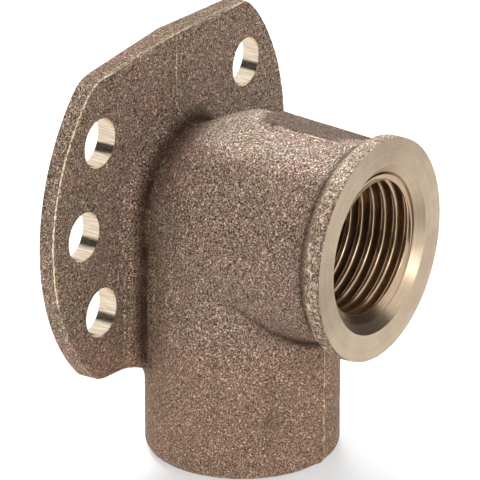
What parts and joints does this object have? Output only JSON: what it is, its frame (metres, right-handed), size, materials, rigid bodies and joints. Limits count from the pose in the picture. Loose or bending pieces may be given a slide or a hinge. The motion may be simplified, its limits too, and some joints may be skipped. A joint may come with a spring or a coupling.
{
  "type": "wall plate elbow",
  "caption": "Cast bronze pipe elbow on a wall disc with screw holes: threaded outlet to the front, plain solder socket downwards for a copper pipe.",
  "frame": {"origin": "where the outlet axis meets the wall, on the flat back of the disc", "axes": "+Y into the wall, -Y out of the threaded outlet, -Z down out of the pipe socket, +X to the right seen from the room"},
  "size_m": [0.0572, 0.0355, 0.0577],
  "materials": {
    "bronze": "sand-cast bronze skin, machined collar face, screw holes and bores"
  },
  "bodies": {
    "root": {"wall_plate_elbow": "bronze"}
  },
  "joints": []
}
